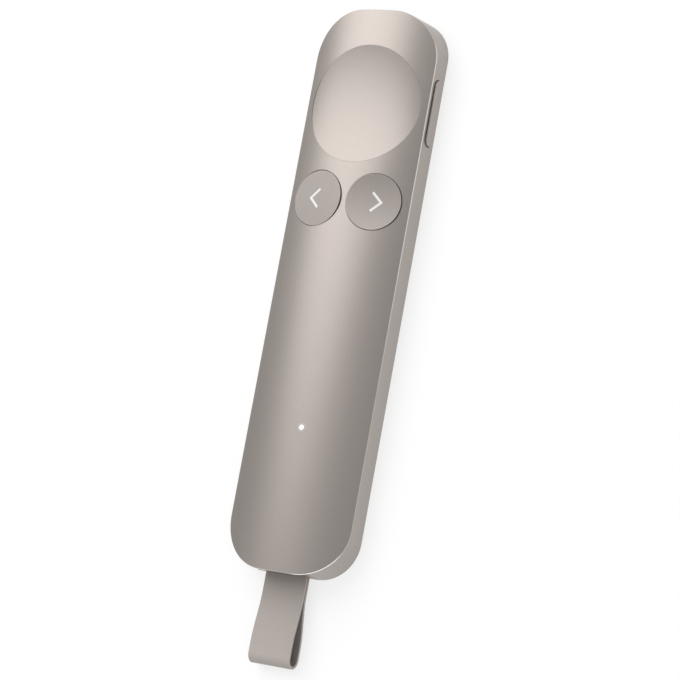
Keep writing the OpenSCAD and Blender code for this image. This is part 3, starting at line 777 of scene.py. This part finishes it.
def build_strap(receiver):
    """The soft strap: one band, bent double and opening into a loop."""
    bm = bmesh.new()
    z = strap_box.middle.z
    left = strap_box.low.x + receiver.strap_trim
    over = [(y, z + height) for y, height in strap_side(receiver, receiver.loop_rise)]
    under = [(y, z - height) for y, height in strap_side(receiver, receiver.loop_sag)]
    verts = [bm.verts.new((left, y, height)) for y, height in over + under[::-1]]
    edges = [bm.edges.new(pair) for pair in zip(verts, verts[1:])]
    made = bmesh.ops.extrude_edge_only(bm, edges=edges)["geom"]
    bmesh.ops.translate(bm, vec=(-2 * left, 0, 0), verts=of_type(made, BMVert))
    bmesh.ops.remove_doubles(bm, verts=bm.verts, dist=MERGE)
    bmesh.ops.recalc_face_normals(bm, faces=bm.faces)
    if max(bm.faces, key=lambda face: face.calc_center_median().z).normal.z < 0:
        bmesh.ops.reverse_faces(bm, faces=bm.faces)
    bmesh.ops.solidify(bm, geom=bm.faces[:], thickness=receiver.strap_layer)
    round_edges(bm, sharp_edges(bm), receiver.strap_edge)
    bm.normal_update()
    bend_y = strap_box.low.y + loop_bend(receiver)
    for face in bm.faces:
        middle = face.calc_center_median()
        inward = Vector((0, max(0, bend_y - middle.y), z - middle.z))
        # Edge faces take the paler colour, which is painted light
        if abs(face.normal.x) > PARTLY:
            face.material_index = LIT_EDGE
        # Faces inside the loop take the darker colour, which is painted shade
        elif face.normal.dot(inward) > 0:
            face.material_index = SHADED_INSIDE
    return bm


def strap_cutter(receiver):
    """A bar that cuts the strap's opening in the receiver."""
    height = 2 * receiver.strap_layer + receiver.strap_parting + receiver.slot_gap
    corner = height / 4
    return bar(strap_box.size.x + receiver.slot_gap, height, corner, STRAP_SLOT_STEPS,
               casing_box.low.y - CLEAR, strap_box.high.y + receiver.strap_room, strap_box.middle.z)[0]


def receiver_block(receiver, start, end, wall=0.0):
    """A block of the receiver's section, rounded all over, or the plain hollow in it, set in by wall."""
    width = receiver_box.size.x - 2 * wall
    height = receiver_box.size.z - 2 * wall
    corner = receiver.case_corner - wall / 2
    bm, low_face, high_face = bar(width, height, corner, CASE_STEPS, start, end, receiver_box.middle.z)
    if not wall:
        round_edges(bm, list(low_face.edges) + list(high_face.edges), receiver.case_edge)
    return bm


def build_receiver_end(receiver):
    """The receiver's metal end cap, with the opening for the strap."""
    start = casing_box.low.y
    return cut(receiver_block(receiver, start, start + receiver.end_cap), strap_cutter(receiver))


def build_receiver_case(receiver):
    """The receiver's hollow plastic case."""
    end = receiver_box.high.y
    case = receiver_block(receiver, casing_box.low.y + receiver.end_cap, end)
    room = receiver_block(receiver, end - receiver.case_room, end - receiver.case_front, receiver.case_wall)
    return cut(cut(case, room), strap_cutter(receiver))


def build_receiver_front(receiver):
    """The plate that holds the plug."""
    plate = receiver_block(receiver, receiver_box.high.y, front_box.high.y)
    hole = bar(plug_box.size.x, plug_box.size.z, plug_box.size.z / 2, PLUG_HOLE_STEPS,
               receiver_box.high.y - CLEAR, front_box.high.y + CLEAR, plug_box.middle.z)[0]
    return cut(plate, hole)


def build_plug(receiver):
    """The plug's steel shell: a drawn tube with a rounded mouth."""
    bm, low_face, high_face = bar(plug_box.size.x, plug_box.size.z, plug_box.size.z / 2, PLUG_STEPS,
                                  plug_box.low.y, plug_box.high.y, plug_box.middle.z)
    mouth = list(high_face.edges)
    bmesh.ops.delete(bm, geom=[low_face, high_face], context="FACES_ONLY")
    bm.normal_update()
    bmesh.ops.solidify(bm, geom=bm.faces[:], thickness=receiver.plug_shell)
    round_edges(bm, [edge for edge in mouth if edge.is_valid], receiver.plug_mouth)
    return bm


# Finishes


class Finish:
    """A material and short calls for the nodes that shape it."""

    def __init__(self, name, base, roughness, metallic=0.0):
        self.material = bpy.data.materials.new(name)
        self.material.use_nodes = True
        self.tree = self.material.node_tree
        self.roughness = roughness
        self.set("Base Color", (*base, 1)).set("Roughness", roughness).set("Metallic", metallic)
        self.place = self.node("TexCoord", {}).outputs["Object"]

    def feed(self, socket, value):
        """Joins an output to a socket, or gives the socket a value of its own."""
        if isinstance(value, bpy.types.NodeSocket):
            self.tree.links.new(value, socket)
        else:
            socket.default_value = value

    def set(self, socket, value):
        """Feeds a socket of the shader itself."""
        self.feed(self.tree.nodes["Principled BSDF"].inputs[socket], value)
        return self

    def node(self, kind, inputs, **settings):
        """Adds a node with its settings, and feeds its inputs."""
        node = self.tree.nodes.new("ShaderNode" + kind)
        for setting, value in settings.items():
            setattr(node, setting, value)
        for socket, value in inputs.items():
            self.feed(node.inputs[socket], value)
        return node

    def noise(self, grain, detail=2.0, stretch=(1, 1, 1)):
        """Noise whose spots are about grain wide, in metres."""
        mapping = self.node("Mapping", {"Vector": self.place, "Scale": stretch})
        vector = mapping.outputs["Vector"]
        return self.node("TexNoise", {"Vector": vector, "Scale": 1 / grain, "Detail": detail}).outputs["Fac"]

    def ranged(self, source, low, high, start=0.3, end=0.7):
        """Spreads what a varying value has from start to end between low and high."""
        inputs = {"Value": source, "From Min": start, "From Max": end, "To Min": low, "To Max": high}
        return self.node("MapRange", inputs).outputs["Result"]

    def join(self, operation, first, second):
        """Works out a value from two others, each an output or a number."""
        return self.node("Math", {0: first, 1: second}, operation=operation).outputs["Value"]

    def blend(self, factor, first, second):
        """Mixes two colours by a varying factor."""
        mix = self.node("Mix", {"Factor": factor}, data_type="RGBA")
        sockets = [socket for socket in mix.inputs if socket.type == "RGBA"]
        for socket, value in zip(sockets, (first, second)):
            self.feed(socket, (*value, 1))
        return next(output for output in mix.outputs if output.type == "RGBA")

    def along(self, axis):
        """The place along one axis of the object."""
        return self.node("SeparateXYZ", {"Vector": self.place}).outputs[axis]

    def mottle(self, base, grain, spread):
        """Varies the base colour a little from place to place."""
        dark = [c * (1 - spread) for c in base]
        pale = [min(1.0, c * (1 + spread)) for c in base]
        factor = self.ranged(self.noise(grain, detail=3.0), low=0.0, high=1.0)
        return self.set("Base Color", self.blend(factor, dark, pale))

    def vary_roughness(self, grain, less, more, stretch=(1, 1, 1)):
        """Varies the roughness from place to place, by no more than less below it and more above it."""
        noise = self.noise(grain, detail=3.0, stretch=stretch)
        return self.set("Roughness", self.ranged(noise, self.roughness - less, self.roughness + more))

    def relief(self, height, depth, strength):
        """Gives the surface a relief of that depth, in metres."""
        bump = self.node("Bump", {"Height": height, "Distance": depth, "Strength": strength})
        return self.set("Normal", bump.outputs["Normal"])

    def grainy(self, grain, depth, strength, detail=2.0):
        """Gives the surface an even grain."""
        return self.relief(self.noise(grain, detail), depth, strength)


def satin_metal(name, look, base, grain, glow_place=None, glow_start=0.0, glow_end=0.0):
    """Bead-blasted and anodised metal with a fine grain, and a painted glow round a lit place if it has one.
    """
    finish = Finish(name, base, look.casing_roughness, metallic=1.0)
    if glow_place is not None:
        # Painted glow: the metal emits light round the lit place, fading out from start to end
        distance = finish.node("VectorMath", {0: finish.place, 1: glow_place}, operation="DISTANCE")
        painted_glow = finish.ranged(distance.outputs["Value"], look.painted_glow, 0.0, start=glow_start, end=glow_end)
        finish.set("Emission Color", WHITE).set("Emission Strength", painted_glow)
    finish.mottle(base, grain=0.25 * MM, spread=grain)
    finish.vary_roughness(grain=0.3 * MM, less=0.012, more=0.012)
    return finish.grainy(grain=0.06 * MM, depth=0.002 * MM, strength=0.5).material


def polished_edge(name, base, roughness):
    """Diamond-cut metal: bright, with faint marks along the cut."""
    finish = Finish(name, base, roughness, metallic=1.0)
    finish.mottle(base, grain=0.5 * MM, spread=0.02)
    return finish.vary_roughness(grain=0.2 * MM, less=0.04, more=0.06, stretch=(1, 0.05, 1)).material


def soft_strap(name, base, painted_shade=None):
    """Matte elastomer with a fine grain, darkened towards the slot by painted shade if it has a second colour
    for that shade.
    """
    finish = Finish(name, base, roughness=0.62)
    finish.set("Sheen Weight", 0.12).set("Sheen Roughness", 0.5)
    # Painted shade: the colour darkens towards the slot, standing in for the shadow that the casing casts
    # there
    if painted_shade:
        slot, tip = casing_box.low.y, strap_box.low.y
        painted_shade_fade = finish.ranged(finish.along("Y"), low=0.0, high=0.94, start=slot, end=tip)
        uneven = finish.ranged(finish.noise(grain=0.5 * MM, detail=3.0), low=0.0, high=0.06)
        finish.set("Base Color", finish.blend(finish.join("ADD", painted_shade_fade, uneven), painted_shade, base))
    else:
        finish.mottle(base, grain=0.5 * MM, spread=0.03)
    finish.vary_roughness(grain=0.4 * MM, less=0.06, more=0.06)
    return finish.grainy(grain=0.12 * MM, depth=0.015 * MM, strength=0.6, detail=4.0).material


def moulded_plastic(name, base, roughness=0.48):
    """Moulded plastic with a fine spark-eroded grain."""
    finish = Finish(name, base, roughness)
    finish.mottle(base, grain=1.2 * MM, spread=0.08)
    finish.vary_roughness(grain=0.5 * MM, less=0.06, more=0.08)
    return finish.grainy(grain=0.12 * MM, depth=0.01 * MM, strength=0.5).material


def printed_ink(name, base):
    """Thick white ink, slightly uneven."""
    finish = Finish(name, base, roughness=0.5)
    finish.mottle(base, grain=0.15 * MM, spread=0.02)
    return finish.grainy(grain=0.08 * MM, depth=0.002 * MM, strength=0.4).material


def foam_tape(name, base):
    """Black foam tape with open pores."""
    finish = Finish(name, base, roughness=0.8)
    finish.mottle(base, grain=0.3 * MM, spread=0.2)
    return finish.grainy(grain=0.15 * MM, depth=0.03 * MM, strength=0.8, detail=4.0).material


def board_resist(name, base):
    """Solder resist: glossy, and paler where the copper runs under it."""
    finish = Finish(name, base, roughness=0.3)
    tracks = finish.noise(grain=1.6 * MM, detail=0.0, stretch=(1, 0.25, 1))
    copper = finish.ranged(tracks, low=0.0, high=1.0, start=0.49, end=0.51)
    paler = 1.7
    pale = [min(1.0, paler * c) for c in base]
    finish.set("Base Color", finish.blend(copper, base, pale))
    finish.vary_roughness(grain=0.8 * MM, less=0.06, more=0.06)
    return finish.relief(copper, depth=0.01 * MM, strength=0.6).material


def pouch_foil(name, base):
    """Soft foil with shallow wrinkles."""
    finish = Finish(name, base, roughness=0.34, metallic=1.0)
    finish.mottle(base, grain=2 * MM, spread=0.04)
    finish.vary_roughness(grain=1 * MM, less=0.06, more=0.08)
    wrinkles = finish.noise(grain=2.5 * MM, detail=3.0, stretch=(1, 0.4, 1))
    return finish.relief(wrinkles, depth=0.08 * MM, strength=0.5).material


def clear_pipe(name, base):
    """Clear moulded acrylic, a little frosted."""
    finish = Finish(name, base, roughness=0.25)
    finish.set("Transmission Weight", 0.85).set("IOR", 1.49)
    finish.vary_roughness(grain=0.4 * MM, less=0.07, more=0.07)
    return finish.grainy(grain=0.3 * MM, depth=0.005 * MM, strength=0.4).material


def contact_pads(name, plastic, gold):
    """Dark plastic with a row of gold contacts on it."""
    finish = Finish(name, plastic, roughness=0.35)
    half_pitch = 0.25 * MM
    half_gap = 0.11 * MM
    pad = finish.join("GREATER_THAN", finish.join("PINGPONG", finish.along("X"), half_pitch), half_gap)
    finish.set("Base Color", finish.blend(pad, plastic, gold)).set("Metallic", pad)
    finish.vary_roughness(grain=0.3 * MM, less=0.07, more=0.05)
    return finish.relief(pad, depth=0.02 * MM, strength=0.5).material


def lit_lens(name, base):
    """Frosted lens, lit from below."""
    finish = Finish(name, base, roughness=0.35)
    uneven = finish.ranged(finish.noise(grain=0.3 * MM), low=1.6, high=2.2)
    finish.set("Emission Color", WHITE).set("Emission Strength", uneven)
    return finish.grainy(grain=0.06 * MM, depth=0.004 * MM, strength=0.4).material


def spring_steel(name, base):
    """Drawn nickel-plated steel, with fine lines along its length."""
    finish = Finish(name, base, roughness=0.28, metallic=1.0)
    finish.mottle(base, grain=0.8 * MM, spread=0.05)
    finish.vary_roughness(grain=0.1 * MM, less=0.08, more=0.1, stretch=(1, 0.05, 1))
    lines = finish.noise(grain=0.05 * MM, detail=3.0, stretch=(1, 0.04, 1))
    return finish.relief(lines, depth=0.004 * MM, strength=0.5).material


# Stage


def add_world(scene, stage):
    """Even, plain light all round."""
    world = bpy.data.worlds.new("studio")
    world.use_nodes = True
    background = world.node_tree.nodes["Background"]
    background.inputs["Color"].default_value = WHITE
    background.inputs["Strength"].default_value = stage.world
    scene.world = world


def add_floor(scene, stage):
    """A plain pale floor: the camera and the metal see it white, and it keeps the clicker's shadow."""
    bm = bmesh.new()
    bmesh.ops.create_grid(bm, x_segments=1, y_segments=1, size=FLOOR_REACH)
    bmesh.ops.translate(bm, vec=(0, 0, casing_box.low.z - FLOOR_GAP), verts=bm.verts)
    mesh = bpy.data.meshes.new("floor")
    bm.to_mesh(mesh)
    bm.free()
    paper = Finish("floor_paper", (stage.floor_tone,) * 3, roughness=0.9)
    rays = paper.node("LightPath", {}).outputs
    seen = rays["Is Camera Ray"]
    for ray in ("Is Glossy Ray", "Is Transmission Ray"):
        seen = paper.join("MAXIMUM", seen, rays[ray])
    paper.set("Specular IOR Level", 0.0).set("Emission Color", WHITE)
    paper.set("Emission Strength", paper.join("MULTIPLY", seen, stage.floor_white))
    mesh.materials.append(paper.material)
    floor = bpy.data.objects.new("floor", mesh)
    scene.collection.objects.link(floor)


def add_lamp(scene, stage, name):
    """A soft lamp with a round or oval face, aimed at the clicker."""
    parts = ("radiance", "width", "height", "distance", "turn", "rise")
    radiance, width, height, distance, turned, rise = (getattr(stage, name + "_" + part) for part in parts)
    light = bpy.data.lights.new(name, "AREA")
    light.shape = "ELLIPSE"
    light.size, light.size_y = width, height
    face_area = math.pi / 4 * light.size * light.size_y
    light.energy = radiance * math.pi * face_area
    out = Vector((math.cos(rise) * math.cos(turned), math.cos(rise) * math.sin(turned), math.sin(rise)))
    lamp = bpy.data.objects.new(name, light)
    lamp.matrix_world = Matrix.Translation(out * distance) @ out.to_track_quat("Z", "Y").to_matrix().to_4x4()
    scene.collection.objects.link(lamp)


def add_camera(scene, stage):
    """The camera of the photograph: the clicker's turn and place in the picture, turned into the camera's."""
    turned = (Matrix.Rotation(stage.roll, 3, "Z") @ Matrix.Rotation(stage.pitch, 3, "X")
              @ Matrix.Rotation(stage.yaw, 3, "Y"))
    back = turned.transposed()
    place = back @ Vector((-stage.shift_x, -stage.shift_y, stage.distance))
    lens = bpy.data.cameras.new("camera")
    picture_width = PICTURE_PIXELS / stage.pixels_per_mm * MM
    lens.lens = lens.sensor_width * stage.distance / picture_width
    lens.clip_start = CLIP_START
    lens.clip_end = CLIP_END
    camera = bpy.data.objects.new("camera", lens)
    camera.matrix_world = Matrix.Translation(place) @ back.to_4x4()
    scene.collection.objects.link(camera)
    scene.camera = camera


# Operators


class CLICKER_OT_stage(Operator):
    """Set the floor, the light and the camera"""

    bl_idname = "clicker.stage"
    bl_label = "Stage"

    def execute(self, context):
        scene = context.scene
        stage = scene.clicker_stage
        scene.view_settings.view_transform = "Standard"
        add_world(scene, stage)
        add_floor(scene, stage)
        for lamp in ("key", "low", "rim"):
            add_lamp(scene, stage, lamp)
        add_camera(scene, stage)
        return {"FINISHED"}


class CLICKER_OT_casing(Operator):
    """Model the metal shell"""

    bl_idname = "clicker.casing"
    bl_label = "Casing"

    def execute(self, context):
        scene = context.scene
        look, buttons = scene.clicker_finish, scene.clicker_buttons
        bm = build_casing(scene.clicker_casing, buttons, scene.clicker_receiver)
        finishes = [
            # The front's satin metal carries the painted glow round the status light
            satin_metal("casing_satin", look, look.casing, look.front_grain, lit_place,
                        buttons.light_radius, buttons.glow_radius),
            polished_edge("casing_polish", look.polish, look.polish_roughness),
            # The walls' paler copy of the metal is painted light
            satin_metal("wall_satin", look, look.wall, look.wall_grain),
        ]
        shell = make_piece("casing_shell", bm, "casing", finishes, ["upper_casing"])
        even_shading(shell, lambda face, place: crown_normal(scene.clicker_casing, face, place))
        return {"FINISHED"}


class CLICKER_OT_back_cover(Operator):
    """Model the flat back cover"""

    bl_idname = "clicker.back_cover"
    bl_label = "Back cover"

    def execute(self, context):
        look = context.scene.clicker_finish
        metal = satin_metal("cover_satin", look, look.casing, look.front_grain)
        bm = build_cover(context.scene.clicker_casing)
        cover = make_piece("cover_plate", bm, "casing", [metal], ["back_cover"])
        even_shading(cover, broad_face)
        return {"FINISHED"}


class CLICKER_OT_pointer_button(Operator):
    """Model the dished button"""

    bl_idname = "clicker.pointer_button"
    bl_label = "Dished button"

    def execute(self, context):
        look = context.scene.clicker_finish
        metal = satin_metal("dish_satin", look, look.dish, look.front_grain)
        bm = build_dish(context.scene.clicker_casing, context.scene.clicker_buttons)
        make_piece("pointer_dish", bm, "pointer", [metal], ["pointer_button"])
        return {"FINISHED"}


class CLICKER_OT_paging_buttons(Operator):
    """Model the two round buttons and their arrows"""

    bl_idname = "clicker.paging_buttons"
    bl_label = "Round buttons"

    def execute(self, context):
        look = context.scene.clicker_finish
        casing, buttons = context.scene.clicker_casing, context.scene.clicker_buttons
        metal = satin_metal("paging_satin", look, look.paging, look.front_grain)
        ink = printed_ink("arrow_ink", look.arrow)
        for side, body in ((-1, "previous"), (1, "next")):
            cap = build_paging(casing, buttons, side)
            make_piece(body + "_cap", cap, body, [metal], [body + "_button"])
            make_piece(body + "_arrow", build_arrow(casing, buttons, side), body, [ink])
        return {"FINISHED"}


class CLICKER_OT_side_button(Operator):
    """Model the side button"""

    bl_idname = "clicker.side_button"
    bl_label = "Side button"

    def execute(self, context):
        look = context.scene.clicker_finish
        # The side button takes the walls' paler copy, which is painted light
        metal = satin_metal("side_satin", look, look.wall, look.wall_grain)
        bm = build_side_button(context.scene.clicker_buttons)
        piece = make_piece("side_bar", bm, "side", [metal], ["side_button"])
        even_shading(piece, broad_face)
        return {"FINISHED"}


class CLICKER_OT_status_light(Operator):
    """Model the status light"""

    bl_idname = "clicker.status_light"
    bl_label = "Status light"

    def execute(self, context):
        bm = build_light(context.scene.clicker_casing, context.scene.clicker_buttons)
        lens = lit_lens("lens_lit", context.scene.clicker_finish.lens)
        make_piece("status_lens", bm, "casing", [lens], ["status_light_pipe"])
        return {"FINISHED"}


class CLICKER_OT_strap(Operator):
    """Model the soft strap"""

    bl_idname = "clicker.strap"
    bl_label = "Strap"

    def execute(self, context):
        look = context.scene.clicker_finish
        bm = build_strap(context.scene.clicker_receiver)
        finishes = [
            # The band darkens towards the slot: painted shade
            soft_strap("strap_soft", look.strap, look.strap_painted_shade),
            # Paler edges: painted light
            soft_strap("strap_cut_edge", look.strap_edge),
            # The inside of the loop is painted shade
            soft_strap("strap_lining", look.strap_inside_painted_shade),
        ]
        make_piece("strap_band", bm, "receiver", finishes, ["strap"])
        return {"FINISHED"}


class CLICKER_OT_receiver(Operator):
    """Model the receiver: its end cap, case, front plate and plug"""

    bl_idname = "clicker.receiver"
    bl_label = "Receiver"

    def execute(self, context):
        look, sizes = context.scene.clicker_finish, context.scene.clicker_receiver
        # The end cap takes the walls' paler copy, which is painted light
        metal = satin_metal("receiver_satin", look, look.wall, look.wall_grain)
        plastic = moulded_plastic("receiver_plastic", look.plastic)
        steel = spring_steel("plug_steel", look.steel)
        for name, build, slot, material, replaced in (
                ("receiver_end_cap", build_receiver_end, "button_metal", metal, []),
                ("receiver_shell", build_receiver_case, "dark_plastic", plastic, ["receiver_case"]),
                ("receiver_plate", build_receiver_front, "dark_plastic", plastic, ["receiver_front"]),
                ("receiver_plug_shell", build_plug, "steel", steel, ["receiver_plug"])):
            make_piece(name, build(sizes), "receiver", [material], replaced)
        return {"FINISHED"}


class CLICKER_OT_inside(Operator):
    """Give the pieces inside their finishes"""

    bl_idname = "clicker.inside"
    bl_label = "Inside"

    def execute(self, context):
        look = context.scene.clicker_finish
        finishes = {
            "casing_metal": satin_metal("shell_satin", look, look.casing, look.front_grain),
            "button_metal": satin_metal("button_satin", look, look.dish, look.front_grain),
            "strap_soft": soft_strap("strap_plain", look.strap),
            "dark_plastic": moulded_plastic("plastic_dark", look.plastic),
            "adhesive": foam_tape("tape_foam", look.adhesive),
            "circuit_board": board_resist("board_resist", look.board),
            "chip_black": moulded_plastic("chip_epoxy", look.chip, roughness=0.55),
            "steel": spring_steel("steel_drawn", look.steel),
            "foil": pouch_foil("foil_pouch", look.foil),
            "light_pipe": clear_pipe("pipe_clear", look.pipe),
        }
        special = {"receiver_contacts": contact_pads("contacts_gold", look.plastic, look.gold)}
        for subpart in frame["record"]["subparts"]:
            node = subpart["node"]
            materials = frame["nodes"][node].data.materials
            materials.clear()
            materials.append(special.get(node, finishes[subpart["material_slot"]]))
        return {"FINISHED"}


class CLICKER_PT_pieces(Panel):
    """Lists the pieces of the clicker"""

    bl_idname = "CLICKER_PT_pieces"
    bl_label = "Clicker"
    bl_space_type = "VIEW_3D"
    bl_region_type = "UI"
    bl_category = "Clicker"

    def draw(self, context):
        for step in STEPS:
            self.layout.operator(step.bl_idname)


GROUPS = {
    "clicker_casing": ClickerCasingSizes,
    "clicker_buttons": ClickerButtonSizes,
    "clicker_receiver": ClickerReceiverSizes,
    "clicker_finish": ClickerFinish,
    "clicker_stage": ClickerStage,
}
STEPS = (
    CLICKER_OT_stage,
    CLICKER_OT_inside,
    CLICKER_OT_casing,
    CLICKER_OT_back_cover,
    CLICKER_OT_pointer_button,
    CLICKER_OT_paging_buttons,
    CLICKER_OT_side_button,
    CLICKER_OT_status_light,
    CLICKER_OT_strap,
    CLICKER_OT_receiver,
)


def register():
    """Adds the classes and the property groups to Blender."""
    for added in (*GROUPS.values(), *STEPS, CLICKER_PT_pieces):
        bpy.utils.register_class(added)
    for name, group in GROUPS.items():
        setattr(bpy.types.Scene, name, PointerProperty(type=group))


def unregister():
    """Takes the classes and the property groups out of Blender."""
    for name in GROUPS:
        delattr(bpy.types.Scene, name)
    for added in reversed((*GROUPS.values(), *STEPS, CLICKER_PT_pieces)):
        bpy.utils.unregister_class(added)


def main():
    """Builds everything in order."""
    register()
    for step in STEPS:
        group, name = step.bl_idname.split(".")
        getattr(getattr(bpy.ops, group), name)()


if __name__ == "__main__":
    main()
